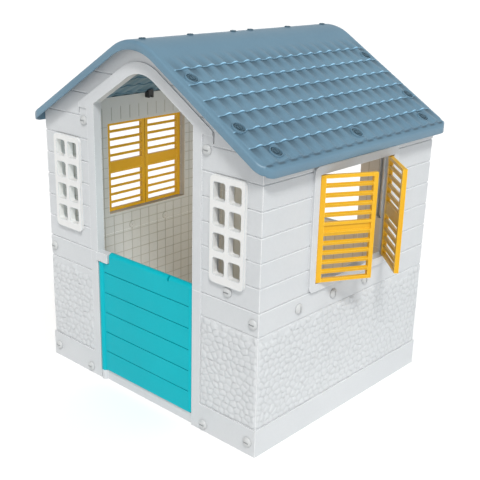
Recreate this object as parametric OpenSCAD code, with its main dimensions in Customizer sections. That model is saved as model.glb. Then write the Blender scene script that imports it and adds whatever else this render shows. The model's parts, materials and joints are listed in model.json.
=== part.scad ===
// Children's garden playhouse: four moulded wall faces, a two-piece tiled roof,
// a hinged half door, four louvred shutters and four small-paned windows.
// Origin: ground level, at the centre of the wall footprint. The door faces -Y.

/* [House] */
// width across the outer faces of the side walls
house_w = 950; // [930:10:970]
// depth across the outer faces of the front and back walls
house_d = 850; // [830:10:880]
// height of the roof ridge above the ground
ridge_h = 1150; // [1140:5:1160]
// thickness of a wall panel
wall_t = 24; // [23:1:25]

/* [Siding] */
// height of the smooth plinth round the foot of the walls
plinth_h = 88; // [85:1:90]
// height of one siding board
board_h = 73; // [72.5:0.5:73.5]
// how far the plinth and the door surround stand proud of the boards
trim_t = 4; // [3:0.5:5]
// depth of the V-shaped line between two boards
groove = 3; // [2:0.5:4]

/* [Roof] */
// slope of the roof in degrees
roof_pitch = 31.5; // [31:0.5:32]
// radius of the rounded ridge
ridge_r = 166; // [150:2:180]
// how far the roof reaches past the walls
overhang = 36; // [34:1:38]
// height of the lip that hangs from the roof's edge
lip_h = 28; // [26:1:30]
// distance between two tile courses, along the slope
course = 65; // [64:0.5:66]

/* [Openings] */
// width between the door jambs
door_w = 436; // [430:2:440]
// height of the doorway at its rounded top
arch_h = 1052; // [1046:2:1058]
// width of the flat surround along the doorway's edge
surround = 34; // [32:1:36]
// width of one window pane
pane_w = 45; // [43:1:46]
// height of one window pane
pane_h = 52; // [50:1:53]

/* [Half door] */
// height of the door's top edge above the ground
door_top = 462; // [461:1:466]
// thickness of the half door
door_t = 24; // [23:1:25]

/* [Shutters] */
// distance between the hinge axes of a pair of shutters
hinge_span = 352; // [346:2:356]
// height of a shutter
leaf_h = 324; // [322:1:326]
// thickness of a shutter
leaf_t = 14; // [13:0.5:14]
// how far the front right shutter stands open, degrees
open_front = 30; // [0:1:90]
// how far the rear right shutter stands open, degrees
open_rear = 47; // [0:1:90]

/* [Hidden] */
$fn = 64;
half_w = house_w / 2;
half_d = house_d / 2;
rise = tan(roof_pitch);
seam = 0.15;

// heights of the board lines, counted from the top of the stone-pattern area
function board_z(k) = plinth_h + (4 + k) * board_h;
joint_z = board_z(1);
tongue_h = 50;
tongue_t = wall_t / 2 - 0.5;

// roof
skin_t = 4;
lip_t = 5;
relief = 4;
roof_w = half_w + overhang;
roof_d = half_d + overhang;
corner_r = 45;
ridge_sharp = ridge_h + ridge_r * (1 / cos(roof_pitch) - 1);
eave_z = ridge_sharp - roof_w * rise;
first_course = 20;
courses = 7;
seam_x = 20;

// doorway
door_half = door_w / 2;
arch_r = 112;
arch_sharp = arch_h + arch_r * (1 / cos(roof_pitch) - 1);
trim_half = door_half + surround;
trim_sharp = arch_sharp + surround / cos(roof_pitch);
trim_r = arch_r + surround;
ear_half = trim_half + 38;
ear_z = board_z(7) + 28;

// small-paned windows
mullion = 15;
pane_r = 8;
frame_w = 2 * pane_w + mullion + 27;
frame_h = 3 * board_h + pane_h + 43;
frame_z = joint_z + 51;
frame_x = (trim_half + half_w) / 2 - 7;
frame_out = 10;
frame_in = 10;
plug_edge = 7;

// side window
axis_y = hinge_span / 2;
side_half = axis_y + 11;
side_z = joint_z + 23;
side_h = leaf_h + 6;
side_border = 25;
side_out = 8;
axis_x = half_w + 1;
stud_r = 4;
stud_h = 11;

// half door
threshold_h = 34;
pivot_x = -door_half + 14;
pivot_y = -half_d + 5;
barrel_r = 13;
door_mid_y = -half_d + 10;
lug_w = 50;
lug_z = joint_z - 26;
lug_h = 30;
door_z = threshold_h + 4;
door_right = door_half - 4;
pivot_r = 6;
run_gap = 0.05;

// bolts
bolt_r = 4.5;
bolt_hole = 4.6;
bolt_len = 22;
corner_len = 36;
head_r = 16;
boss_r = 11;
boss_h = 2;
cap_r = 14;
ridge_cap_r = 10;
cap_len = 15;

// x, height and face of each bolt on the front wall; the back wall repeats them
gable_bolts = [
  [trim_half + 18, board_z(7) - 13],
  [-trim_half - 18, board_z(7) - 13],
  [frame_x, frame_z - 20]
];
corner_bolts = [[half_w - 20, board_z(0.5), 0], [half_w - 25, 42, trim_t]];
foot_bolt = [trim_half + 18, 24, trim_t];
side_bolts = [-250, -83, 83, 250];
ridge_bolts = [-418, -228, -40, 40, 228, 418];

// ---- shared shapes ----

// extrudes an outline drawn in x and z from y0 to y1
module along_y(y0, y1) {
  translate([0, y1, 0]) rotate([90, 0, 0]) linear_extrude(y1 - y0) children();
}

// a block with four rounded edges, running from y0 to y1, given by its lower centre
module round_block(x, z, w, h, r, y0, y1) {
  translate([x - w / 2 + r, y0, z]) cube([w - 2 * r, y1 - y0, h]);
  translate([x - w / 2, y0, z + r]) cube([w, y1 - y0, h - 2 * r]);
  for (sx = [-1, 1]) {
    for (zz = [z + r, z + h - r]) {
      translate([x + sx * (w / 2 - r), y1, zz]) rotate([90, 0, 0]) cylinder(r = r, h = y1 - y0);
    }
  }
}

// a prism with a pitched top and a rounded ridge
module pitched(half, foot, sharp, r, y0, y1) {
  tangent = r * sin(roof_pitch);
  along_y(y0, y1) polygon([
    [-half, foot],
    [half, foot],
    [half, sharp - half * rise],
    [tangent, sharp - tangent * rise],
    [-tangent, sharp - tangent * rise],
    [-half, sharp - half * rise]
  ]);
  translate([0, y1, sharp - r / cos(roof_pitch)]) rotate([90, 0, 0]) cylinder(r = r, h = y1 - y0);
}

// everything lower than the roof's outer surface, less a depth t
module under_roof(t) {
  pitched(roof_w + 60, -10, ridge_sharp - t / cos(roof_pitch), ridge_r - t, -roof_d - 20, roof_d + 20);
}

// the space a wall may fill
module wall_space() {
  intersection() {
    under_roof(skin_t + 0.5);
    translate([-600, -600, -10]) cube([1200, 1200, ridge_h + 9 - cap_len]);
  }
}

// a wall on the front side of the house, mitred at both ends
module wall(half_len, gap, proud, z0, z1) {
  translate([0, 0, z0]) linear_extrude(z1 - z0) polygon([
    [-half_len - proud + seam, -gap - proud],
    [half_len + proud - seam, -gap - proud],
    [half_len - wall_t - seam, -gap + wall_t],
    [-half_len + wall_t + seam, -gap + wall_t]
  ]);
}

// V-shaped lines between boards on the front side, from x0 to x1
module board_lines(x0, x1, gap, from, to) {
  side = groove * sqrt(2);
  for (k = [from:to]) {
    translate([x0, -gap, board_z(k)]) rotate([45, 0, 0])
      translate([0, -side / 2, -side / 2]) cube([x1 - x0, side, side]);
  }
}

// a point on the right-hand slope: s along it from the eave, h above it
function slope(s, h) = [
  roof_w - s * cos(roof_pitch) + h * sin(roof_pitch),
  eave_z + s * sin(roof_pitch) + h * cos(roof_pitch)
];
function slope_at(x) = (roof_w - x) / cos(roof_pitch);

// ---- bolts ----

module bolt_at(x, z, out) {
  translate([x, -half_d - out, z]) rotate([90, 0, 0]) children();
}

module side_bolt_at(y) {
  translate([half_w, y, board_z(0.5)]) rotate([0, 90, 0]) children();
}

// places a child on both slopes where a roof bolt goes
module each_roof_bolt() {
  for (side = [0, 1]) {
    mirror([side, 0, 0]) {
      for (y = [-366, 0, 366]) {
        on_slope(half_w - wall_t / 2, y) children();
      }
      for (y = [-half_d + wall_t / 2, half_d - wall_t / 2]) {
        on_slope(195, y) children();
        on_slope(372, y) children();
      }
    }
  }
}

module on_slope(x, y) {
  p = slope(slope_at(x), 0);
  translate([p[0], y, p[1]]) rotate([0, roof_pitch, 0]) children();
}

module shank_hole(length) {
  translate([0, 0, -length - 1]) cylinder(r = bolt_hole, h = length + 3);
}

module wall_bolt(length) {
  difference() {
    rotate_extrude() polygon([
      [0, -length],
      [bolt_r, -length],
      [bolt_r, 0],
      [head_r, 0],
      [head_r, 2.5],
      [head_r - 3, 6],
      [head_r - 8, 8.5],
      [0, 9]
    ]);
    translate([-9, -1.5, 6]) cube([18, 3, 6]);
  }
}

module roof_bolt() {
  difference() {
    rotate_extrude() polygon([
      [0, -cap_len],
      [bolt_r, -cap_len],
      [bolt_r, 0.5],
      [cap_r, 0.5],
      [cap_r, 4.5],
      [cap_r - 3, 4.5],
      [cap_r - 3, 1.8],
      [cap_r - 6, 1.8],
      [cap_r - 6, 5.5],
      [0, 5.5]
    ]);
    translate([-9, -1.5, 3.5]) cube([18, 3, 4]);
  }
}

// the flatter bolt that holds the two roof halves together at the ridge
module ridge_bolt() {
  difference() {
    rotate_extrude() polygon([
      [0, -cap_len],
      [bolt_r, -cap_len],
      [bolt_r, 0.5],
      [ridge_cap_r, 0.5],
      [ridge_cap_r, 2.5],
      [ridge_cap_r - 1.5, 4],
      [0, 4]
    ]);
    translate([-6, -1, 2.5]) cube([12, 2, 3]);
  }
}

module wall_bolts() {
  for (turn = [0, 180]) {
    rotate([0, 0, turn]) {
      for (b = gable_bolts) bolt_at(b[0], b[1], 0) wall_bolt(bolt_len);
      for (side = [0, 1]) {
        mirror([side, 0, 0]) {
          for (b = corner_bolts) bolt_at(b[0], b[1], b[2]) wall_bolt(corner_len);
          bolt_at(foot_bolt[0], foot_bolt[1], foot_bolt[2]) wall_bolt(bolt_len);
        }
      }
      for (y = side_bolts) side_bolt_at(y) wall_bolt(wall_t + boss_h - 0.5);
    }
  }
}

module roof_bolts() {
  each_roof_bolt() roof_bolt();
  for (y = ridge_bolts) translate([0, y, ridge_h]) ridge_bolt();
}

module roof_bolt_holes() {
  each_roof_bolt() shank_hole(cap_len);
}

// ---- walls ----

module corner_bolt_holes() {
  for (turn = [0, 180]) {
    rotate([0, 0, turn]) {
      for (side = [0, 1]) {
        mirror([side, 0, 0]) {
          for (b = corner_bolts) bolt_at(b[0], b[1], b[2]) shank_hole(corner_len);
        }
      }
    }
  }
}

// the opening of the doorway, pitched like the roof and rounded at the top
module doorway(foot) {
  pitched(door_half, foot, arch_sharp, arch_r, -half_d - 40, -half_d + wall_t + 20);
}

// the flat surround that stands proud along the doorway and under the roof
module door_trim() {
  intersection() {
    union() {
      pitched(trim_half, joint_z, trim_sharp, trim_r, -half_d - trim_t, -half_d);
      difference() {
        pitched(ear_half, ear_z, trim_sharp, trim_r, -half_d - trim_t, -half_d);
        translate([-half_w, -half_d - 50, 0]) cube([house_w, 100, ear_z]);
      }
    }
    wall_space();
  }
}

// inner tongues that reach down behind the lower panels
module gable_tongues() {
  for (side = [0, 1]) {
    mirror([side, 0, 0]) translate([door_half + 8, -half_d + wall_t - tongue_t, joint_z - tongue_h])
      cube([half_w - door_half - 48, tongue_t, tongue_h + 1]);
  }
}

module gable_tongue_slots() {
  for (side = [0, 1]) {
    mirror([side, 0, 0]) translate([door_half + 7.5, -half_d + wall_t - tongue_t - 0.5, joint_z - tongue_h - 0.5])
      cube([half_w - door_half - 47, tongue_t + 5, tongue_h + 5]);
  }
}

// the lines between boards beside and above the doorway
module gable_lines() {
  for (side = [0, 1]) {
    mirror([side, 0, 0]) {
      board_lines(trim_half, half_w + 5, half_d, 1, 6);
      board_lines(ear_half, half_w + 5, half_d, 7, 7);
      for (k = [8, 9]) {
        board_lines((trim_sharp - board_z(k)) / rise + 2, half_w, half_d, k, k);
      }
      translate([ear_half + 1, -half_d - 1, board_z(7) + 6]) cube([5, 8, 34]);
    }
  }
}

// the upper front wall: two window fields, the top of the doorway and the gable
module gable_panel() {
  difference() {
    union() {
      difference() {
        intersection() {
          wall(half_w, half_d, 0, joint_z, ridge_h);
          wall_space();
        }
        gable_lines();
      }
      door_trim();
      gable_tongues();
    }
    doorway(joint_z - tongue_h - 10);
    for (sx = [-1, 1]) {
      round_block(sx * frame_x, frame_z + plug_edge - 0.5, frame_w - 2 * plug_edge + 1,
        frame_h - 2 * plug_edge + 1, 12, -half_d - 10, -half_d + wall_t + 10);
    }
    for (b = gable_bolts) bolt_at(b[0], b[1], 0) shank_hole(bolt_len);
    roof_bolt_holes();
  }
}

module front_upper() {
  color("whitesmoke") gable_panel();
}

module back_upper() {
  color("whitesmoke") rotate([0, 0, 180]) gable_panel();
}

// a lower panel across the whole front side, with its plinth
module lower_front_slab() {
  difference() {
    union() {
      difference() {
        wall(half_w, half_d, 0, 0, joint_z - 0.3);
        board_lines(-half_w - 5, half_w + 5, half_d, 0, 1);
      }
      wall(half_w, half_d, trim_t, 0, plinth_h);
    }
    gable_tongue_slots();
    corner_bolt_holes();
    for (sx = [-1, 1]) {
      bolt_at(sx * foot_bolt[0], foot_bolt[1], foot_bolt[2]) shank_hole(bolt_len);
    }
  }
}

module lower_front_leg() {
  intersection() {
    lower_front_slab();
    translate([door_half, -half_d - 50, -10]) cube([half_w, 150, ridge_h]);
  }
  translate([door_half, -half_d - trim_t, 1]) cube([surround, trim_t + 4, joint_z - 1.3]);
}

module front_lower_right() {
  color("whitesmoke") lower_front_leg();
}

// the left leg also carries the lug that holds the half door's upper pivot
module front_lower_left() {
  color("whitesmoke") difference() {
    union() {
      mirror([1, 0, 0]) lower_front_leg();
      translate([-door_half - 4, -half_d - 8, lug_z]) cube([lug_w + 4, 26, lug_h]);
    }
    translate([pivot_x, pivot_y, lug_z - 1]) cylinder(r = pivot_r + run_gap, h = lug_h - 4);
    translate([-door_half - 12, -half_d - 9, joint_z - 0.3]) cube([12, 40, 10]);
  }
}

module back_lower() {
  color("whitesmoke") rotate([0, 0, 180]) lower_front_slab();
}

// the raised frame round the side window
module side_frame() {
  rotate([0, 0, 90]) round_block(0, side_z - side_border + 2.3, 2 * (side_half + side_border),
    side_h + 2 * side_border - 2.3, 16, -half_w - side_out, -half_w);
}

module side_upper() {
  difference() {
    union() {
      difference() {
        intersection() {
          rotate([0, 0, 90]) wall(half_d, half_w, 0, joint_z, eave_z + 60);
          wall_space();
        }
        rotate([0, 0, 90]) board_lines(-half_d - 5, half_d + 5, half_w, 1, 6);
      }
      side_frame();
      translate([half_w - wall_t, -half_d + 55, joint_z - tongue_h])
        cube([tongue_t, house_d - 110, tongue_h + 1]);
      for (y = side_bolts) {
        translate([half_w - wall_t - boss_h, y, board_z(0.5)]) rotate([0, 90, 0]) cylinder(r = boss_r, h = 6);
      }
    }
    translate([half_w - wall_t - 10, -side_half, side_z]) cube([wall_t + 40, 2 * side_half, side_h]);
    for (y = [-axis_y, axis_y]) {
      translate([axis_x, y, side_z - 10]) cylinder(r = stud_r + run_gap, h = side_h + 20);
    }
    for (y = side_bolts) side_bolt_at(y) shank_hole(wall_t + boss_h);
    roof_bolt_holes();
  }
}

module side_lower() {
  difference() {
    union() {
      difference() {
        rotate([0, 0, 90]) wall(half_d, half_w, 0, 0, joint_z - 0.3);
        rotate([0, 0, 90]) board_lines(-half_d - 5, half_d + 5, half_w, 0, 1);
      }
      rotate([0, 0, 90]) wall(half_d, half_w, trim_t, 0, plinth_h);
    }
    translate([half_w - wall_t - 5, -half_d + 54.5, joint_z - tongue_h - 0.5])
      cube([tongue_t + 5.5, house_d - 109, tongue_h + 5]);
    for (y = side_bolts) side_bolt_at(y) shank_hole(bolt_len);
    corner_bolt_holes();
  }
}

module side_upper_right() {
  color("aliceblue") side_upper();
}

module side_upper_left() {
  color("aliceblue") rotate([0, 0, 180]) side_upper();
}

module side_lower_right() {
  color("aliceblue") side_lower();
}

module side_lower_left() {
  color("aliceblue") rotate([0, 0, 180]) side_lower();
}

// the bar across the foot of the doorway, with the lower pivot of the half door
module threshold() {
  color("gainsboro") difference() {
    union() {
      translate([-door_half + 0.3, -half_d + 3, 0]) cube([door_w - 0.6, wall_t - 6, threshold_h]);
      translate([pivot_x, pivot_y, 0]) cylinder(r = barrel_r, h = threshold_h);
    }
    translate([pivot_x, pivot_y, threshold_h - 20]) cylinder(r = pivot_r + run_gap, h = 30);
  }
}

// ---- roof ----

module roof_plan(inset) {
  x = roof_w - inset;
  y = roof_d - inset;
  r = corner_r - inset;
  translate([-x, -y + r, eave_z - 100]) cube([2 * x, 2 * y - 2 * r, 500]);
  translate([-x + r, -y, eave_z - 100]) cube([2 * x - 2 * r, 2 * y, 500]);
  for (sx = [-1, 1]) {
    for (sy = [-1, 1]) {
      translate([sx * (x - r), sy * (y - r), eave_z - 100]) cylinder(r = r, h = 500);
    }
  }
}

// the thin roof with its hanging lip, before it is parted at the ridge
module roof_shell() {
  difference() {
    intersection() {
      difference() {
        under_roof(0);
        translate([0, 0, -lip_h]) under_roof(0);
      }
      roof_plan(0);
    }
    intersection() {
      under_roof(skin_t);
      roof_plan(lip_t);
    }
  }
}

// overlapping tile courses on the right-hand slope, as steps
module tile_courses() {
  top = first_course + courses * course;
  along_y(-roof_d + 14, roof_d - 14) polygon(concat(
    [slope(first_course, -1)],
    [for (k = [0:courses - 1], low = [0, 1]) slope(first_course + (k + low) * course, low == 0 ? relief : 0)],
    [slope(top, -1)]
  ));
}

module bolt_seats() {
  each_roof_bolt() translate([0, 0, 0.5]) cylinder(r = cap_r + 2, h = relief + 4);
}

module roof_half(keep_left) {
  difference() {
    union() {
      roof_shell();
      if (keep_left) {
        mirror([1, 0, 0]) tile_courses();
      } else {
        tile_courses();
      }
    }
    translate([keep_left ? seam_x : seam_x + seam - 700, -600, 0]) cube([700, 1200, 1300]);
    bolt_seats();
    roof_bolt_holes();
    for (y = ridge_bolts) translate([0, y, ridge_h]) shank_hole(cap_len);
  }
}

// the strip of the right half that lies under the edge of the left half
module ridge_strip() {
  difference() {
    intersection() {
      difference() {
        under_roof(skin_t);
        under_roof(2 * skin_t + 0.3);
      }
      translate([seam_x - 45, -roof_d + lip_t + 1, ridge_h - 60])
        cube([57, 2 * (roof_d - lip_t - 1), 100]);
    }
    intersection() {
      translate([seam_x - 60, -600, ridge_h - 60]) cube([60 + seam, 1200, 100]);
      difference() {
        under_roof(skin_t - 1);
        under_roof(skin_t + 0.3);
      }
    }
    for (y = ridge_bolts) translate([0, y, ridge_h]) shank_hole(cap_len);
  }
}

module roof_right() {
  color("steelblue") {
    roof_half(false);
    ridge_strip();
  }
}

module roof_left() {
  color("steelblue") roof_half(true);
}

// clips that hold the eaves of the roof to the side walls
module eave_clips() {
  color("dimgray") for (side = [0, 1]) {
    mirror([side, 0, 0]) {
      for (y = [-366, 0, 366]) {
        intersection() {
          under_roof(skin_t + 0.6);
          difference() {
            translate([half_w - wall_t - 20, y - 12, eave_z + 15]) cube([19.7, 24, 60]);
            translate([half_w - wall_t - 30, y - 5, eave_z + 7]) cube([20, 10, 16]);
          }
        }
      }
    }
  }
}

// ---- windows ----

// a window with eight open panes; its face stands proud of the wall
module window_grille() {
  difference() {
    union() {
      round_block(0, 0, frame_w, frame_h, 16, -half_d - frame_out, -half_d);
      round_block(0, plug_edge, frame_w - 2 * plug_edge, frame_h - 2 * plug_edge, 12,
        -half_d - 1, -half_d + frame_in);
    }
    for (row = [0:3]) {
      for (sx = [-1, 1]) {
        round_block(sx * (pane_w + mullion) / 2, 24 + row * board_h, pane_w, pane_h, pane_r,
          -half_d - 30, -half_d + 30);
      }
    }
  }
}

module window_front_right() {
  color("white") translate([frame_x, 0, frame_z]) window_grille();
}

module window_front_left() {
  color("white") translate([-frame_x, 0, frame_z]) window_grille();
}

module window_back_right() {
  color("white") rotate([0, 0, 180]) translate([-frame_x, 0, frame_z]) window_grille();
}

module window_back_left() {
  color("white") rotate([0, 0, 180]) translate([frame_x, 0, frame_z]) window_grille();
}

// ---- half door ----

module half_door() {
  edge = door_t / 2;
  notch_x = -door_half + lug_w + 3.5;
  notch_z = lug_z - 3;
  x1 = door_right - edge;
  z1 = door_top - edge;
  pitch = (door_top - door_z) / 6;
  color("darkturquoise") difference() {
    union() {
      translate([notch_x, door_mid_y - edge, door_z]) cube([x1 - notch_x, door_t, z1 - door_z]);
      translate([pivot_x, door_mid_y - edge, door_z]) cube([notch_x - pivot_x + 1, door_t, notch_z - door_z]);
      translate([x1, door_mid_y, door_z]) cylinder(r = edge, h = z1 - door_z);
      translate([notch_x, door_mid_y, z1]) rotate([0, 90, 0]) cylinder(r = edge, h = x1 - notch_x);
      translate([x1, door_mid_y, z1]) sphere(r = edge);
      translate([pivot_x, pivot_y, threshold_h + 0.5]) cylinder(r = barrel_r, h = notch_z - threshold_h - 0.5);
      translate([pivot_x, pivot_y, threshold_h - 18]) cylinder(r = pivot_r, h = lug_z + 40 - threshold_h);
    }
    for (k = [1:5]) {
      translate([pivot_x + barrel_r + 3, door_mid_y - edge - 1, door_z + k * pitch - groove / 2])
        cube([x1 - pivot_x - barrel_r - 3, 1 + groove, groove]);
    }
    translate([door_half / 2, door_mid_y - edge - 1, door_top - 16]) cube([7, edge, 20]);
  }
}

// ---- shutters ----

// one slat across a leaf, tipped so that its upper edge leans outwards
module slat_at(z, tall, reach) {
  translate([0, 5, z]) rotate([0, 20, 0]) translate([-5.25, 0, -tall / 2]) cube([10.5, reach - 10, tall]);
}

// one louvred leaf standing on its hinge axis, its outside towards +X
module leaf() {
  reach = axis_y - 1.5;
  stile = 13;
  rail = 10;
  mid_rail = 42;
  gap = 15;
  slat = 14;
  half_t = leaf_t / 2;
  bank = rail + 5 * gap + 4 * slat;
  cylinder(r = half_t, h = leaf_h);
  translate([0, 0, -stud_h + 2]) cylinder(r = stud_r, h = leaf_h + 2 * stud_h - 4);
  translate([-half_t, 0, 0]) cube([leaf_t, stile, leaf_h]);
  translate([-half_t, reach - stile, 0]) cube([leaf_t, stile, leaf_h]);
  for (z = [0, leaf_h - rail]) {
    translate([-half_t + 1, 5, z]) cube([leaf_t - 2, reach - 10, rail]);
  }
  translate([-half_t + 1, 5, bank]) cube([half_t, reach - 10, mid_rail]);
  translate([-half_t + 1, 5, bank + mid_rail - 8]) cube([leaf_t - 2, reach - 10, 8]);
  slat_at(bank + 9, 12, reach);
  for (low = [rail, bank + mid_rail]) {
    for (i = [0:3]) slat_at(low + gap + slat / 2 + i * (gap + slat), 9.5, reach);
  }
}

module leaf_front(angle) {
  translate([axis_x, -axis_y, side_z + 3]) rotate([0, 0, -angle]) leaf();
}

module leaf_rear(angle) {
  translate([axis_x, axis_y, side_z + 3]) rotate([0, 0, angle]) mirror([0, 1, 0]) leaf();
}

module shutter_right_front() {
  color("orange") leaf_front(open_front);
}

module shutter_right_rear() {
  color("orange") leaf_rear(open_rear);
}

module shutter_left_front() {
  color("orange") mirror([1, 0, 0]) leaf_front(0);
}

module shutter_left_rear() {
  color("orange") mirror([1, 0, 0]) leaf_rear(0);
}

// ---- what is drawn ----

front_upper();
front_lower_left();
front_lower_right();
back_upper();
back_lower();
side_upper_right();
side_upper_left();
side_lower_right();
side_lower_left();
threshold();
roof_left();
roof_right();
window_front_right();
window_front_left();
window_back_right();
window_back_left();
half_door();
shutter_right_front();
shutter_right_rear();
shutter_left_front();
shutter_left_rear();
wall_bolts();
roof_bolts();
eave_clips();
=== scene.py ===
"""A child's plastic playhouse: moulded walls, a tiled two-piece roof, a half door and louvred shutters."""

import json
import math

import bmesh
import bpy
import numpy as np
from mathutils import Matrix, Vector


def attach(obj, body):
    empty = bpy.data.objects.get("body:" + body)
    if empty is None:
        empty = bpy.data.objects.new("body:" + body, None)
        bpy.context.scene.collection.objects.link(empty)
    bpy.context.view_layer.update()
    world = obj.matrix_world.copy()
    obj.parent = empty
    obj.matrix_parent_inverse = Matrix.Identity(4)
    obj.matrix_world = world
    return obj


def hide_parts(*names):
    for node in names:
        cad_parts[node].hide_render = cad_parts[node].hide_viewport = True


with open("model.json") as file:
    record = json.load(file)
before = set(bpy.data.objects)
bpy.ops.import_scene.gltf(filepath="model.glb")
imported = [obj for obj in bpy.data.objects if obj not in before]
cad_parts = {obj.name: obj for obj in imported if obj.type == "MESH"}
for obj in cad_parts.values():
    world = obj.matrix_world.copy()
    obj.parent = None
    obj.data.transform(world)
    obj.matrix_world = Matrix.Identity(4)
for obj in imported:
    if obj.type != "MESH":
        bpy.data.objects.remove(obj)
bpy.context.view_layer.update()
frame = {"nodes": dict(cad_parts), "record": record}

# ---- driving sizes, in metres ----

HALF_W = 0.475
HALF_D = 0.425
WALL_T = 0.024
PLINTH_H = 0.088
BOARD_H = 0.073
STONE_TOP = PLINTH_H + 4 * BOARD_H
TRIM_HALF = 0.252
PANE_WINDOW_X = (TRIM_HALF + HALF_W) / 2 - 0.007
# width of the edge band on which a highlight or shade tint is painted
EDGE_LIGHT_WIDTH = 0.0022

# bolts of the upper side panels
SIDE_BOLT_Z = PLINTH_H + 4.5 * BOARD_H
SIDE_BOLT_Y = (-0.250, -0.083, 0.083, 0.250)

# roof
PITCH = math.radians(31.5)
RIDGE_H = 1.150
RIDGE_R = 0.166
OVERHANG = 0.036
ROOF_W = HALF_W + OVERHANG
ROOF_D = HALF_D + OVERHANG
CORNER_R = 0.045
LIP_H = 0.028
LIP_T = 0.005
SKIN_T = 0.004
EDGE_R = 0.009
SEAM_X = 0.020
RIDGE_CENTRE = RIDGE_H - RIDGE_R
RIDGE_ARC = RIDGE_R * PITCH
TANGENT_X = RIDGE_R * math.sin(PITCH)
TANGENT_Z = RIDGE_CENTRE + RIDGE_R * math.cos(PITCH)
SLOPE_LENGTH = (ROOF_W - TANGENT_X) / math.cos(PITCH)
ROOF_RUN = RIDGE_ARC + SLOPE_LENGTH

# tiles
FIRST_COURSE = 0.020
COURSE = 0.065
COURSES = 7
STEP_H = 0.0028
RIB_SPACING = 0.0504
RIB_H = 0.0036
RIB_SWELL = 0.0024
ROOF_COLUMNS = 261
TILE_END = ROOF_D - 0.016
# band of painted highlight along each tile's lower edge, and the radius of painted shadow in each bolt
# seat
HIGHLIGHT_BAND = 0.0028
BOLT_SEAT_R = 0.0185
BOLT_CLEAR_R = 0.019

# roof bolts: three along each eave, two at each end of a slope
EAVE_BOLT_Y = (-0.366, 0.0, 0.366)
VERGE_BOLT_X = (0.195, 0.372)

# stones
STONE_W = 0.0245
STONE_H = 0.0205
STONE_LIFT = 0.0050
MARGIN_CELLS = 2

# moulded lines on the inner faces
LINE_SPACING = 0.042
LINE_W = 0.0022
LINE_OUT = 0.0008


# ---- materials ----


class Nodes:
    """A small helper that builds one node material."""

    def __init__(self, name):
        self.material = bpy.data.materials.new(name)
        self.material.use_nodes = True
        self.tree = self.material.node_tree
        self.shader = self.tree.nodes["Principled BSDF"]
        self.place = self.add("ShaderNodeTexCoord").outputs["Object"]

    def add(self, kind, **values):
        """Makes a node and sets its properties."""
        made = self.tree.nodes.new(kind)
        for key, value in values.items():
            setattr(made, key, value)
        return made

    def link(self, source, target):
        self.tree.links.new(source, target)

    def noise(self, scale, detail=4.0, stretch=(1, 1, 1)):
        """A cloudy noise over the object's own coordinates."""
        mapping = self.add("ShaderNodeMapping")
        mapping.inputs["Scale"].default_value = stretch
        self.link(self.place, mapping.inputs["Vector"])
        made = self.add("ShaderNodeTexNoise")
        made.inputs["Scale"].default_value = scale
        made.inputs["Detail"].default_value = detail
        made.inputs["Roughness"].default_value = 0.55
        self.link(mapping.outputs["Vector"], made.inputs["Vector"])
        return made.outputs["Fac"]

    def ramp(self, source, stops):
        """Turns a number into a colour between stops of (position, colour)."""
        made = self.add("ShaderNodeValToRGB")
        made.color_ramp.elements[0].position = stops[0][0]
        made.color_ramp.elements[0].color = (*stops[0][1], 1)
        made.color_ramp.elements[1].position = stops[-1][0]
        made.color_ramp.elements[1].color = (*stops[-1][1], 1)
        for position, colour in stops[1:-1]:
            made.color_ramp.elements.new(position).color = (*colour, 1)
        self.link(source, made.inputs["Fac"])
        return made.outputs["Color"]

    def spread(self, source, low, high):
        """Stretches a number from 0 to 1 over low to high."""
        made = self.add("ShaderNodeMapRange")
        made.inputs["To Min"].default_value = low
        made.inputs["To Max"].default_value = high
        self.link(source, made.inputs["Value"])
        return made.outputs["Result"]

    def calculate(self, operation, a, b):
        """Arithmetic on two values, each a number or a socket."""
        made = self.add("ShaderNodeMath", operation=operation)
        for value, target in zip((a, b), made.inputs):
            if isinstance(value, (int, float)):
                target.default_value = value
            else:
                self.link(value, target)
        return made.outputs["Value"]

    def paint_edge_light(self, colour, tint, width):
        """Paints a highlight or a shade tint where the surface turns over an edge."""
        plain = self.add("ShaderNodeNewGeometry").outputs["Normal"]
        rounded = self.add("ShaderNodeBevel", samples=4)
        rounded.inputs["Radius"].default_value = width
        likeness = self.add("ShaderNodeVectorMath", operation="DOT_PRODUCT")
        self.link(plain, likeness.inputs[0])
        self.link(rounded.outputs["Normal"], likeness.inputs[1])
        turn = self.calculate("SUBTRACT", 1, likeness.outputs["Value"])
        mix = self.add("ShaderNodeMix", data_type="RGBA")
        self.link(self.calculate("MINIMUM", self.calculate("MULTIPLY", turn, 9), 1), mix.inputs["Factor"])
        self.link(colour, mix.inputs["A"])
        mix.inputs["B"].default_value = (*tint, 1)
        return mix.outputs["Result"]

    def relief_tint(self, colour, dark, light):
        """Paints shade into the hollows and a highlight onto the lips that a mesh marks from -1 to 1."""
        mark = self.add("ShaderNodeAttribute", attribute_name="relief").outputs["Fac"]
        down = self.calculate("MULTIPLY", self.calculate("MINIMUM", mark, 0), dark)
        up = self.calculate("MULTIPLY", self.calculate("MAXIMUM", mark, 0), light)
        factor = self.calculate("ADD", self.calculate("ADD", down, up), 1)
        mix = self.add("ShaderNodeMix", data_type="RGBA", blend_type="MULTIPLY")
        mix.inputs["Factor"].default_value = 1.0
        self.link(colour, mix.inputs["A"])
        self.link(factor, mix.inputs["B"])
        return mix.outputs["Result"]

    def bump(self, height, distance, strength, under=None):
        """A raised grain, on top of another one where under is given."""
        made = self.add("ShaderNodeBump")
        made.inputs["Distance"].default_value = distance
        made.inputs["Strength"].default_value = strength
        self.link(height, made.inputs["Height"])
        if under is not None:
            self.link(under, made.inputs["Normal"])
        return made.outputs["Normal"]


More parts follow.
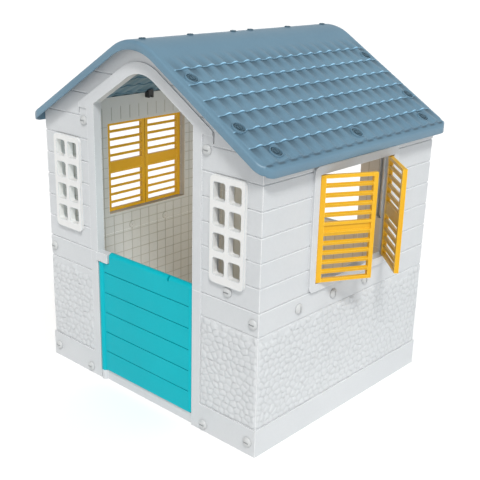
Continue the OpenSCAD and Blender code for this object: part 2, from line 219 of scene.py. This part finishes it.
def moulded_plastic(
    name, base, shade, rough, grain, sheen=0.0, soft=0.0, gloss=0.5, relief=None, edge=None
):
    """Moulded plastic: a cloudy tint, uneven gloss, a fine grain and a slow waviness.

    relief paints shade and highlight onto a mesh by its marks, and edge is the highlight or shade tint
    painted on its edges.
    """
    made = Nodes(name)
    cloud = made.noise(3.2, detail=5.0)
    speck = made.noise(140.0, detail=2.0)
    streak = made.noise(9.0, detail=3.0, stretch=(1.0, 1.0, 4.0))
    tint = made.ramp(cloud, [(0.30, shade), (0.72, base)])
    mix = made.add("ShaderNodeMix", data_type="RGBA", blend_type="MULTIPLY")
    mix.inputs["Factor"].default_value = 0.5
    made.link(tint, mix.inputs["A"])
    made.link(made.ramp(speck, [(0.25, (0.93, 0.93, 0.93)), (0.75, (1, 1, 1))]), mix.inputs["B"])
    colour = mix.outputs["Result"]
    if relief:
        colour = made.relief_tint(colour, *relief)
    if edge:
        colour = made.paint_edge_light(colour, edge, EDGE_LIGHT_WIDTH)
    made.link(colour, made.shader.inputs["Base Color"])
    made.link(made.spread(streak, rough - 0.06, rough + 0.08), made.shader.inputs["Roughness"])
    wave = made.bump(made.noise(14.0, detail=2.0), 0.0012, 0.35)
    fine = made.bump(made.noise(900.0, detail=3.0), grain, 0.5, under=wave)
    made.link(fine, made.shader.inputs["Normal"])
    made.shader.inputs["IOR"].default_value = 1.48
    made.shader.inputs["Specular IOR Level"].default_value = gloss
    made.shader.inputs["Sheen Weight"].default_value = sheen
    made.shader.inputs["Subsurface Weight"].default_value = soft
    made.shader.inputs["Subsurface Radius"].default_value = (0.01, 0.008, 0.006)
    return made.material


WALL_TINT = (0.560, 0.575, 0.588)
WALL_SHADE = (0.520, 0.536, 0.552)


def wall_plastic():
    return moulded_plastic(
        "wall_plastic",
        base=WALL_TINT,
        shade=WALL_SHADE,
        rough=0.42,
        grain=0.00012,
        # painted highlight: a light tint along the edges and the board-line lips
        edge=(0.80, 0.81, 0.82),
    )


def stone_plastic():
    return moulded_plastic(
        "stone_plastic",
        base=WALL_TINT,
        shade=WALL_SHADE,
        rough=0.36,
        grain=0.00012,
        # painted shade in the joints between the stones, by their marks
        relief=(0.11, 0.0),
    )


def shaded_line_plastic():
    return moulded_plastic(
        "shaded_line_plastic",
        # painted shade: darker than the walls, so the moulded lines read as shaded grooves
        base=(0.42, 0.425, 0.41),
        shade=(0.37, 0.375, 0.36),
        rough=0.55,
        grain=0.00010,
    )


def window_plastic():
    return moulded_plastic(
        "window_plastic",
        base=(0.70, 0.70, 0.69),
        shade=(0.66, 0.66, 0.655),
        rough=0.42,
        grain=0.00008,
        soft=0.03,
        # painted shade: a teal-grey tint on the edges for the shaded side faces
        edge=(0.44, 0.52, 0.55),
    )


def bolt_plastic():
    return moulded_plastic(
        "bolt_plastic",
        base=(0.52, 0.53, 0.53),
        shade=(0.47, 0.48, 0.485),
        rough=0.34,
        grain=0.00006,
        # painted shadow: a dark tint round the bolt edges
        edge=(0.27, 0.29, 0.30),
    )


def roof_plastic():
    return moulded_plastic(
        "roof_plastic",
        base=(0.121, 0.224, 0.302),
        shade=(0.100, 0.190, 0.264),
        rough=0.40,
        grain=0.00012,
        sheen=0.04,
        # painted shade and highlight on the tiles, from their marks
        relief=(0.55, 1.9),
    )


def shaded_roof_bolt_plastic():
    return moulded_plastic(
        "shaded_roof_bolt_plastic",
        # painted shade: darker than the roof, standing for the shadow in the bolt recesses
        base=(0.060, 0.115, 0.155),
        shade=(0.050, 0.098, 0.135),
        rough=0.28,
        grain=0.00006,
    )


def door_plastic():
    return moulded_plastic(
        "door_plastic",
        base=(0.0, 0.405, 0.470),
        shade=(0.0, 0.365, 0.430),
        rough=0.42,
        grain=0.00008,
        gloss=0.14,
    )


def shutter_plastic():
    return moulded_plastic(
        "shutter_plastic",
        base=(0.72, 0.405, 0.016),
        shade=(0.67, 0.340, 0.012),
        rough=0.34,
        grain=0.00008,
        soft=0.04,
        gloss=0.25,
        # painted highlight: a light yellow tint on the slat edges
        edge=(0.88, 0.60, 0.075),
    )


def clip_plastic():
    return moulded_plastic(
        "clip_plastic",
        base=(0.035, 0.038, 0.042),
        shade=(0.02, 0.022, 0.025),
        rough=0.45,
        grain=0.00008,
    )


FINISH = {
    "wall_white": wall_plastic(),
    "window_white": window_plastic(),
    "bolt_white": bolt_plastic(),
    "roof_blue": roof_plastic(),
    "bolt_blue": shaded_roof_bolt_plastic(),
    "door_teal": door_plastic(),
    "shutter_yellow": shutter_plastic(),
    "clip_grey": clip_plastic(),
}
STONE_FINISH = stone_plastic()
SHADED_LINE_FINISH = shaded_line_plastic()


# ---- shared pieces of work ----


def smooth(obj, angle=35):
    """Smooth shading with sharp edges kept."""
    bpy.context.view_layer.objects.active = obj
    obj.select_set(True)
    bpy.ops.object.shade_smooth_by_angle(angle=math.radians(angle))
    obj.select_set(False)


def soften(obj, width, segments=2):
    """Rounds the edges of a moulded piece."""
    made = obj.modifiers.new("rounded_edges", "BEVEL")
    made.width = width
    made.segments = segments
    made.limit_method = "ANGLE"
    made.angle_limit = math.radians(40)
    made.harden_normals = True


def fix_normals(obj):
    """Turns every face of a closed shape outwards."""
    work = bmesh.new()
    work.from_mesh(obj.data)
    bmesh.ops.recalc_face_normals(work, faces=work.faces)
    work.to_mesh(obj.data)
    work.free()


def mesh_piece(name, vertices, faces, slot_name, finish=None, relief=None, body="house"):
    """A finished mesh that rides on a body, with an optional mark of painted shade and highlight for each
    vertex.
    """
    data = bpy.data.meshes.new(name)
    data.from_pydata([tuple(v) for v in vertices], [], [tuple(f) for f in faces])
    data.update()
    # per-vertex marks: below 0 painted shade, above 0 painted highlight
    if relief is not None:
        data.attributes.new("relief", "FLOAT", "POINT").data.foreach_set("value", relief)
    obj = bpy.data.objects.new(name, data)
    bpy.context.scene.collection.objects.link(obj)
    obj.data.materials.append(finish or FINISH[slot_name])
    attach(obj, body)
    return obj


def grid_faces(rows, columns, first=0):
    """Quads of a grid whose vertices run row by row."""
    return [
        (
            first + r * columns + c,
            first + r * columns + c + 1,
            first + (r + 1) * columns + c + 1,
            first + (r + 1) * columns + c,
        )
        for r in range(rows - 1)
        for c in range(columns - 1)
    ]


# ---- finish on the CAD pieces ----


def finish_cad_nodes():
    """Gives every CAD piece the material of its slot and slightly rounded edges."""
    slots = {part["node"]: part["material_slot"] for part in frame["record"]["subparts"]}
    widths = {"wall_white": 0.0012, "window_white": 0.0014, "door_teal": 0.0015, "shutter_yellow": 0.0012}
    for name, obj in frame["nodes"].items():
        obj.data.materials.clear()
        obj.data.materials.append(FINISH[slots[name]])
        soften(obj, widths.get(slots[name], 0.0006))


# ---- the stone pattern on the lower walls ----


def scatter_stones(columns, rows, top, rng):
    """Centre of each stone inside its cell, in cells, and its height. The top row thins out."""
    centre_x = rng.uniform(0.15, 0.85, (columns, rows)) + 0.5 * (np.arange(rows) % 2)
    centre_z = rng.uniform(0.2, 0.8, (columns, rows))
    tall = rng.uniform(0.65, 1.0, (columns, rows))
    below_top = top - (np.arange(rows) - MARGIN_CELLS) * STONE_H
    tall[rng.uniform(0.0, 0.045, (columns, rows)) > below_top] = 0.0
    return centre_x, centre_z, tall


def pebble_height(across, up, top, rng):
    """Height of a field of rounded stones, 0 to 1, and a mark of -1 for painted shade in the joints
    between them.
    """
    columns = int(across.max() / STONE_W) + 6
    rows = int(up.max() / STONE_H) + 6
    centre_x, centre_z, tall = scatter_stones(columns, rows, top, rng)
    x = across / STONE_W
    z = up / STONE_H
    i = np.floor(x).astype(int) + MARGIN_CELLS
    j = np.floor(z).astype(int) + MARGIN_CELLS
    near = np.full(across.shape, 9.0)
    second = np.full(across.shape, 9.0)
    crown = np.zeros(across.shape)
    for di in (-2, -1, 0, 1):
        for dj in (-1, 0, 1):
            a = np.clip(i + di, 0, columns - 1)
            b = np.clip(j + dj, 0, rows - 1)
            away_x = a - MARGIN_CELLS + centre_x[a, b] - x
            away_z = b - MARGIN_CELLS + centre_z[a, b] - z
            away = np.hypot(away_x, away_z)
            closer = away < near
            second = np.where(closer, near, np.minimum(second, away))
            crown = np.where(closer, tall[a, b], crown)
            near = np.where(closer, away, near)
    gap = second - near
    side = np.clip(gap / 0.40, 0, 1)
    dome = np.sqrt(np.clip(1 - (near / 0.95) ** 2, 0, 1))
    # painted shade: darkest in the joints between the stones
    joint = -np.clip(1 - gap / 0.22, 0, 1) * (crown > 0)
    return np.sqrt(side * (2 - side)) * dome * crown, joint


def stone_patch(name, start, along, out, length, seed):
    """A sheet of stones over one wall. start is its lower corner, along its direction, out its normal."""
    step = 0.0026
    margin = 0.004
    base_lift = 0.0003
    border_drop = 0.0008
    columns = int(length / step)
    height = STONE_TOP - PLINTH_H - 0.004
    rows = int(height / step)
    across, up = np.meshgrid(np.linspace(0, length, columns), np.linspace(0, height, rows))
    rise, joint = pebble_height(across, up, height, np.random.default_rng(seed))
    edge = np.minimum.reduce([across, length - across, up, height - up])
    lift = STONE_LIFT * rise * np.clip(edge / margin, 0, 1) + base_lift - border_drop * (edge < 1e-6)
    start, along, out = Vector(start), Vector(along), Vector(out)
    vertices = [
        start + along * a + Vector((0, 0, u)) + out * h
        for a, u, h in zip(across.ravel(), up.ravel(), lift.ravel())
    ]
    obj = mesh_piece(name, vertices, grid_faces(rows, columns), "wall_white", STONE_FINISH, joint.ravel())
    smooth(obj, 60)


def stone_patches():
    """The stone pattern between the plinth and the boards, on all four walls."""
    foot = PLINTH_H + 0.002
    leg = HALF_W - TRIM_HALF - 0.003
    side = 2 * HALF_D - 0.006
    back = 2 * HALF_W - 0.006
    stone_patch("stones_front_right", (TRIM_HALF + 0.001, -HALF_D, foot), (1, 0, 0), (0, -1, 0), leg, 11)
    stone_patch("stones_front_left", (-HALF_W + 0.002, -HALF_D, foot), (1, 0, 0), (0, -1, 0), leg, 12)
    stone_patch("stones_right", (HALF_W, -HALF_D + 0.003, foot), (0, 1, 0), (1, 0, 0), side, 13)
    stone_patch("stones_left", (-HALF_W, HALF_D - 0.003, foot), (0, -1, 0), (-1, 0, 0), side, 14)
    stone_patch("stones_back", (HALF_W - 0.003, HALF_D, foot), (-1, 0, 0), (0, 1, 0), back, 15)


# ---- the tiled roof ----


def profile(s):
    """Point and outward normal in x and z, for a distance s down from the ridge line."""
    if s < RIDGE_ARC:
        turn = s / RIDGE_R
        normal = (math.sin(turn), math.cos(turn))
        return (RIDGE_R * normal[0], RIDGE_CENTRE + RIDGE_R * normal[1]), normal
    run = s - RIDGE_ARC
    normal = (math.sin(PITCH), math.cos(PITCH))
    return (TANGENT_X + run * math.cos(PITCH), TANGENT_Z - run * math.sin(PITCH)), normal


def bolt_spots():
    """Places of the roof bolts on one slope, as distance up from the eave and y."""
    end_y = HALF_D - WALL_T / 2
    eave = [(HALF_W - WALL_T / 2, y) for y in EAVE_BOLT_Y]
    verge = [(x, y) for x in VERGE_BOLT_X for y in (-end_y, end_y)]
    return [((ROOF_W - x) / math.cos(PITCH), y) for x, y in eave + verge]


BOLT_SPOTS = bolt_spots()


def rib_at(y):
    """Share of a tile's rib at y, from 0 between the ribs to 1 on a crest."""
    return max(0.0, 0.25 + 0.75 * math.cos(2 * math.pi * y / RIB_SPACING)) ** 0.7


def bolt_distance(up_slope, y):
    """Distance to the nearest roof bolt."""
    return min(math.hypot(up_slope - s, y - t) for s, t in BOLT_SPOTS)


def tile_relief(up_slope, y):
    """Height of the tiles over the plain roof, up_slope metres from the eave."""
    number = (up_slope - FIRST_COURSE) / COURSE
    if number < 0 or number >= COURSES:
        return 0.0
    part = number - math.floor(number)
    fade = 1.0 - max(0.0, number - (COURSES - 1)) ** 2
    edge = min(1.0, max(0.0, (TILE_END - abs(y)) / 0.006))
    rib = rib_at(y) * (RIB_H + RIB_SWELL * (1 - part))
    height = (STEP_H * (1 - part) + rib) * fade * edge
    clear = (bolt_distance(up_slope, y) - BOLT_CLEAR_R) / 0.005
    return height * min(1.0, max(0.0, clear))


def tile_painted_light(up_slope, y):
    """Painted light of the tiles: a highlight along each lower edge, shade under it and a dark shadow in
    the seats round the bolts.
    """
    if bolt_distance(up_slope, y) < BOLT_SEAT_R:
        return -1.6
    number = (up_slope - FIRST_COURSE) / COURSE
    if number < -0.1 or number >= COURSES or abs(y) > TILE_END:
        return 0.0
    part = number - math.floor(number)
    rib = rib_at(y)
    if number >= 0 and part * COURSE < HIGHLIGHT_BAND:
        return 0.2 + 0.8 * rib
    if number >= COURSES - 1:
        return -0.45 * (1 - part) * (1 - rib)
    return -max(0.0, (part - 0.35) / 0.65) * (1 - 0.9 * rib)


def slope_samples(first):
    """Distances down from the ridge at which the roof is cut into rows."""
    marks = [first + (RIDGE_ARC - first) * i / 14 for i in range(15)]
    for k in range(COURSES):
        low = ROOF_RUN - (FIRST_COURSE + k * COURSE)
        marks += [low - COURSE * (0.06 + 0.93 * i / 12) for i in range(13)]
        marks += [low - 0.0026, low - 0.0001, low + 0.0010]
    straight = ROOF_RUN - CORNER_R / math.cos(PITCH)
    marks = [m for m in marks if m < straight]
    for i in range(15):
        inset = CORNER_R - (CORNER_R - EDGE_R) * math.sin(math.pi / 2 * i / 14)
        marks.append(ROOF_RUN - inset / math.cos(PITCH))
    return sorted(set(round(m, 6) for m in marks))


def reach_y(x, inset):
    """Half the roof's depth at x, for an outline set in from the edge."""
    r = CORNER_R - inset
    past = x - (ROOF_W - CORNER_R)
    if past <= 0:
        return ROOF_D - inset
    return ROOF_D - CORNER_R + math.sqrt(max(0.0, r * r - past * past))


def plan_normal(x, y):
    """Outward direction of the roof's outline, seen from above, at a point near its edge."""
    px = x - (ROOF_W - CORNER_R)
    py = abs(y) - (ROOF_D - CORNER_R)
    sign = math.copysign(1, y)
    if px <= 0:
        return (0.0, sign)
    if py <= 0:
        return (1.0, 0.0)
    length = math.hypot(px, py)
    return (px / length, sign * py / length)


def roof_sheets(side, samples):
    """Rows of points on the tiled face and on the underside, and the marks of painted highlight and shade
    on the tiled face.
    """
    top, under, marks = [], [], []
    for s in samples:
        (x, z), normal = profile(abs(s))
        x = math.copysign(x, s) if s else x
        nx = math.copysign(normal[0], s) if s else 0.0
        wide = reach_y(x, EDGE_R)
        low = reach_y(x, LIP_T + 0.001)
        for c in range(ROOF_COLUMNS):
            v = -1 + 2 * c / (ROOF_COLUMNS - 1)
            rise = tile_relief(ROOF_RUN - s, v * wide)
            depth = SKIN_T - 0.9 * tile_relief(ROOF_RUN - s, v * low)
            marks.append(tile_painted_light(ROOF_RUN - s, v * wide))
            top.append(Vector((side * (x + nx * rise), v * wide, z + normal[1] * rise)))
            under.append(Vector((side * (x - nx * depth), v * low, z - normal[1] * depth)))
    return top, under, marks


def rim_of(rows, columns):
    """Vertices along the verge, the eave and the other verge of a sheet, in order."""
    rim = [r * columns for r in range(rows)]
    rim += [(rows - 1) * columns + c for c in range(1, columns)]
    rim += [r * columns + columns - 1 for r in range(rows - 2, -1, -1)]
    return rim


def lip_steps():
    """Section of the rounded edge and the hanging lip, as steps outwards and down."""
    rounded = [(EDGE_R * math.sin(a), -EDGE_R * (1 - math.cos(a))) for a in (0.5, 1.0, math.pi / 2)]
    foot = [(EDGE_R, -LIP_H + 0.002), (EDGE_R - 0.0015, -LIP_H), (EDGE_R - LIP_T + 0.001, -LIP_H)]
    return rounded + foot


def roof_half(name, side, first, node):
    """One half of the roof, from the distance first past the ridge line down to the eave."""
    samples = slope_samples(first)
    rows, columns = len(samples), ROOF_COLUMNS
    top, under, marks = roof_sheets(side, samples)
    vertices = top + under
    faces = grid_faces(rows, columns)
    faces += [tuple(reversed(f)) for f in grid_faces(rows, columns, len(top))]
    rim = rim_of(rows, columns)
    loops = [rim]
    for out, down in lip_steps():
        ring = []
        for index in rim:
            base = vertices[index]
            away = plan_normal(side * base.x, base.y)
            ring.append(len(vertices))
            vertices.append(base + Vector((side * away[0] * out, away[1] * out, down)))
        loops.append(ring)
    loops.append([index + len(top) for index in rim])
    for a, b in zip(loops, loops[1:]):
        for i in range(len(rim) - 1):
            faces.append((a[i], a[i + 1], b[i + 1], b[i]))
    for c in range(columns - 1):
        faces.append((c, c + 1, len(top) + c + 1, len(top) + c))
    marks += [0.0] * (len(vertices) - len(marks))
    obj = mesh_piece(name, vertices, faces, "roof_blue", relief=marks)
    fix_normals(obj)
    smooth(obj, 38)
    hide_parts(node)


def bolt_collars():
    """The moulded ring round each roof bolt."""
    inside = [(0.0174, 0.0002), (0.0176, 0.0054), (0.0182, 0.0062)]
    outside = [(0.0196, 0.0062), (0.0206, 0.0050), (0.0212, 0.0)]
    ring = inside + outside
    count = 40
    normal = Vector((math.sin(PITCH), 0, math.cos(PITCH)))
    along = Vector((0, 1, 0))
    cross = normal.cross(along)
    vertices, faces = [], []
    for side in (-1, 1):
        for up_slope, y in BOLT_SPOTS:
            x = ROOF_W - up_slope * math.cos(PITCH)
            z = TANGENT_Z - (x - TANGENT_X) * math.tan(PITCH)
            centre = Vector((x, y, z))
            for k in range(count):
                angle = 2 * math.pi * k / count
                spoke = along * math.cos(angle) + cross * math.sin(angle)
                for radius, height in ring:
                    p = centre + spoke * radius + normal * height
                    vertices.append(Vector((side * p.x, p.y, p.z)))
            first = len(vertices) - count * len(ring)
            for k in range(count):
                a = first + k * len(ring)
                b = first + (k + 1) % count * len(ring)
                for m in range(len(ring) - 1):
                    faces.append((a + m, b + m, b + m + 1, a + m + 1))
    obj = mesh_piece("bolt_collars", vertices, faces, "roof_blue")
    fix_normals(obj)
    smooth(obj, 50)


def ridge_strip():
    """The strip of the right half that reaches under the edge of the left half."""
    reach = ROOF_D - LIP_T - 0.001
    steps = [-0.025 + 0.037 * i / 8 for i in range(9)]
    vertices, faces = [], []
    for depth in (SKIN_T + 0.0003, 2 * SKIN_T + 0.0003):
        for x in steps:
            z = RIDGE_CENTRE + math.sqrt(RIDGE_R**2 - x * x) - depth
            vertices += [Vector((x, -reach, z)), Vector((x, reach, z))]
    half = 2 * len(steps)
    faces = grid_faces(len(steps), 2) + grid_faces(len(steps), 2, half)
    for i in range(len(steps) - 1):
        for end in (0, 1):
            faces.append((2 * i + end, 2 * i + 2 + end, half + 2 * i + 2 + end, half + 2 * i + end))
    faces += [(0, 1, half + 1, half), (half - 2, half - 1, 2 * half - 1, 2 * half - 2)]
    obj = mesh_piece("ridge_strip", vertices, faces, "roof_blue")
    fix_normals(obj)
    smooth(obj, 30)


def roof():
    """Both halves of the roof, with the rings round their bolts and the strip under the joint."""
    roof_half("roof_tiles_right", 1, SEAM_X + 0.0003, "roof_right")
    roof_half("roof_tiles_left", -1, -SEAM_X + 0.0003, "roof_left")
    bolt_collars()
    ridge_strip()


# ---- the inside of the walls ----


def side_wall_lines():
    """Uprights and board lines inside the side walls, as box centres and sizes."""
    window_y, window_foot, window_top = 0.2, 0.468, 0.816
    foot, top = 0.01, 0.862
    end, window_end = 0.395, 0.19
    boxes = []
    for side in (-1, 1):
        x = side * (HALF_W - WALL_T) - side * LINE_OUT / 2
        for i in range(19):
            y = (i - 9) * LINE_SPACING
            spans = [(foot, top)]
            if abs(y) < window_y:
                spans = [(foot, window_foot), (window_top, top)]
            for z0, z1 in spans:
                boxes.append((x, y, (z0 + z1) / 2, LINE_OUT, LINE_W, z1 - z0))
        for k in range(21):
            z = 0.065 + k * BOARD_H / 2
            spans = [(-end, -window_end), (window_end, end)]
            if z < window_foot or z > window_top:
                spans = [(-end, end)]
            for y0, y1 in spans:
                boxes.append((x, (y0 + y1) / 2, z, LINE_OUT, y1 - y0, LINE_W))
    return boxes


def end_wall_spans(side, x):
    """Heights between which an upright runs at x, clear of the doorway and the small-paned windows."""
    foot, top = 0.01, 0.86
    if side == 1 and abs(x) < 0.22:
        return [(foot, 0.448)]
    if abs(x) < 0.225:
        return []
    if abs(abs(x) - PANE_WINDOW_X) < 0.062:
        return [(foot, 0.505), (0.816, top)]
    return [(foot, top)]


def end_wall_lines():
    """Uprights inside the front and back walls, as box centres and sizes."""
    boxes = []
    for side in (-1, 1):
        y = side * (HALF_D - WALL_T) - side * LINE_OUT / 2
        for i in range(21):
            x = (i - 10) * LINE_SPACING
            for z0, z1 in end_wall_spans(side, x):
                boxes.append((x, y, (z0 + z1) / 2, LINE_W, LINE_OUT, z1 - z0))
    return boxes


def inner_ribs():
    """Shallow lines moulded on the inner faces of the walls."""
    quads = ((0, 1, 3, 2), (4, 6, 7, 5), (0, 4, 5, 1), (2, 3, 7, 6), (0, 2, 6, 4), (1, 5, 7, 3))
    vertices, faces = [], []
    for x, y, z, dx, dy, dz in side_wall_lines() + end_wall_lines():
        first = len(vertices)
        for sx in (-0.5, 0.5):
            for sy in (-0.5, 0.5):
                for sz in (-0.5, 0.5):
                    vertices.append((x + sx * dx, y + sy * dy, z + sz * dz))
        for quad in quads:
            faces.append(tuple(first + q for q in quad))
    # the lines take the darker finish of painted shade
    mesh_piece("inner_ribs", vertices, faces, "wall_white", SHADED_LINE_FINISH)


def boss_rings():
    """A shallow ring round each bolt boss on the inner faces of the side walls."""
    count = 32
    section = [(radius, depth) for radius in (0.0112, 0.0132) for depth in (-0.0004, LINE_OUT)]
    vertices, faces = [], []
    for side in (-1, 1):
        face = side * (HALF_W - WALL_T)
        for y in SIDE_BOLT_Y:
            first = len(vertices)
            for k in range(count):
                angle = 2 * math.pi * k / count
                for radius, depth in section:
                    across = y + radius * math.cos(angle)
                    up = SIDE_BOLT_Z + radius * math.sin(angle)
                    vertices.append((face - side * depth, across, up))
            for k in range(count):
                a = first + 4 * k
                b = first + 4 * ((k + 1) % count)
                for m, n in ((0, 1), (1, 3), (3, 2), (2, 0)):
                    faces.append((a + m, b + m, b + n, a + n))
    # the rings take the darker finish of painted shade
    obj = mesh_piece("boss_rings", vertices, faces, "wall_white", SHADED_LINE_FINISH)
    fix_normals(obj)


# ---- the studio ----


def floor_finish():
    """A pale, faintly uneven floor."""
    made = Nodes("floor_white")
    tint = made.ramp(made.noise(2.0), [(0.3, (0.93, 0.93, 0.93)), (0.7, (0.92, 0.92, 0.92))])
    made.link(tint, made.shader.inputs["Base Color"])
    made.shader.inputs["Roughness"].default_value = 0.9
    made.shader.inputs["Specular IOR Level"].default_value = 0.1
    return made.material


def floor():
    """A floor so large that its edge melts into the white horizon."""
    reach = 120.0
    corners = [(-reach, -reach, 0), (reach, -reach, 0), (reach, reach, 0), (-reach, reach, 0)]
    data = bpy.data.meshes.new("floor")
    data.from_pydata(corners, [], [(0, 1, 2, 3)])
    made = bpy.data.objects.new("floor", data)
    made.data.materials.append(floor_finish())
    made.location.z = -0.0005
    bpy.context.scene.collection.objects.link(made)


def surroundings():
    """A white horizon that dims to a soft grey overhead."""
    world = bpy.data.worlds.new("studio")
    bpy.context.scene.world = world
    world.use_nodes = True
    tree = world.node_tree
    direction = tree.nodes.new("ShaderNodeTexCoord").outputs["Generated"]
    parts = tree.nodes.new("ShaderNodeSeparateXYZ")
    ramp = tree.nodes.new("ShaderNodeValToRGB")
    ramp.color_ramp.elements[0].position = 0.12
    ramp.color_ramp.elements[0].color = (1, 1, 1, 1)
    ramp.color_ramp.elements[1].position = 0.40
    ramp.color_ramp.elements[1].color = (0.43, 0.43, 0.43, 1)
    tree.links.new(direction, parts.inputs["Vector"])
    tree.links.new(parts.outputs["Z"], ramp.inputs["Fac"])
    tree.links.new(ramp.outputs["Color"], tree.nodes["Background"].inputs["Color"])
    tree.nodes["Background"].inputs["Strength"].default_value = 1.0


def add_lamp(name, kind, energy, colour, place, towards):
    """Puts up a light that shines towards a direction."""
    data = bpy.data.lights.new(name, kind)
    data.energy = energy
    data.color = colour
    lamp = bpy.data.objects.new(name, data)
    lamp.location = place
    lamp.rotation_euler = towards.to_track_quat("-Z", "Y").to_euler()
    bpy.context.scene.collection.objects.link(lamp)
    return data


def sun(name, elevation, azimuth, strength, softness, colour):
    """A soft, even light. The azimuth is measured from +X towards +Y, all angles in degrees."""
    up, round_z = math.radians(elevation), math.radians(azimuth)
    source = Vector((math.cos(up) * math.cos(round_z), math.cos(up) * math.sin(round_z), math.sin(up)))
    data = add_lamp(name, "SUN", strength, colour, source * 6, -source)
    data.angle = math.radians(softness)


def room_light(name, place, towards, energy, colour):
    """A light in the room, so that it does not sink into shadow."""
    data = add_lamp(name, "AREA", energy, colour, place, Vector(towards))
    data.shape = "SQUARE"
    data.size = 0.3


def studio():
    """The floor, the surroundings and the lights."""
    floor()
    surroundings()
    sun("key", elevation=51, azimuth=-42, strength=2.6, softness=12, colour=(1.0, 0.99, 0.97))
    sun("cool_side", elevation=32, azimuth=12, strength=0.45, softness=90, colour=(0.75, 0.90, 1.0))
    room_light(
        "room_cool",
        place=(0.08, -0.05, 0.55),
        towards=(-1.0, 0.1, -0.1),
        energy=0.95,
        colour=(0.76, 1.0, 1.0),
    )
    room_light(
        "room_warm",
        place=(0.15, -0.05, 0.50),
        towards=(-0.65, 0.75, -0.15),
        energy=1.4,
        colour=(1.0, 0.60, 0.24),
    )


def camera():
    """Stands in front of the right-hand corner, above the eaves, tipped a little to one side."""
    yaw, pitch, roll = math.radians(-41.98), math.radians(-19.15), math.radians(1.47)
    forward = Vector((math.sin(yaw) * math.cos(pitch), math.cos(yaw) * math.cos(pitch), math.sin(pitch)))
    level = Vector((math.cos(yaw), -math.sin(yaw), 0))
    up = level.cross(forward)
    right = level * math.cos(roll) + up * math.sin(roll)
    top = up * math.cos(roll) - level * math.sin(roll)
    data = bpy.data.cameras.new("camera")
    data.lens = 64.0
    data.sensor_width = 36.0
    data.clip_end = 400
    made = bpy.data.objects.new("camera", data)
    rotation = Matrix((right, top, -forward)).transposed().to_4x4()
    made.matrix_world = Matrix.Translation(Vector((1.8635, -2.0538, 1.4108))) @ rotation
    bpy.context.scene.collection.objects.link(made)
    bpy.context.scene.camera = made


finish_cad_nodes()
stone_patches()
roof()
inner_ribs()
boss_rings()
studio()
camera()
bpy.context.scene.view_settings.view_transform = "Standard"
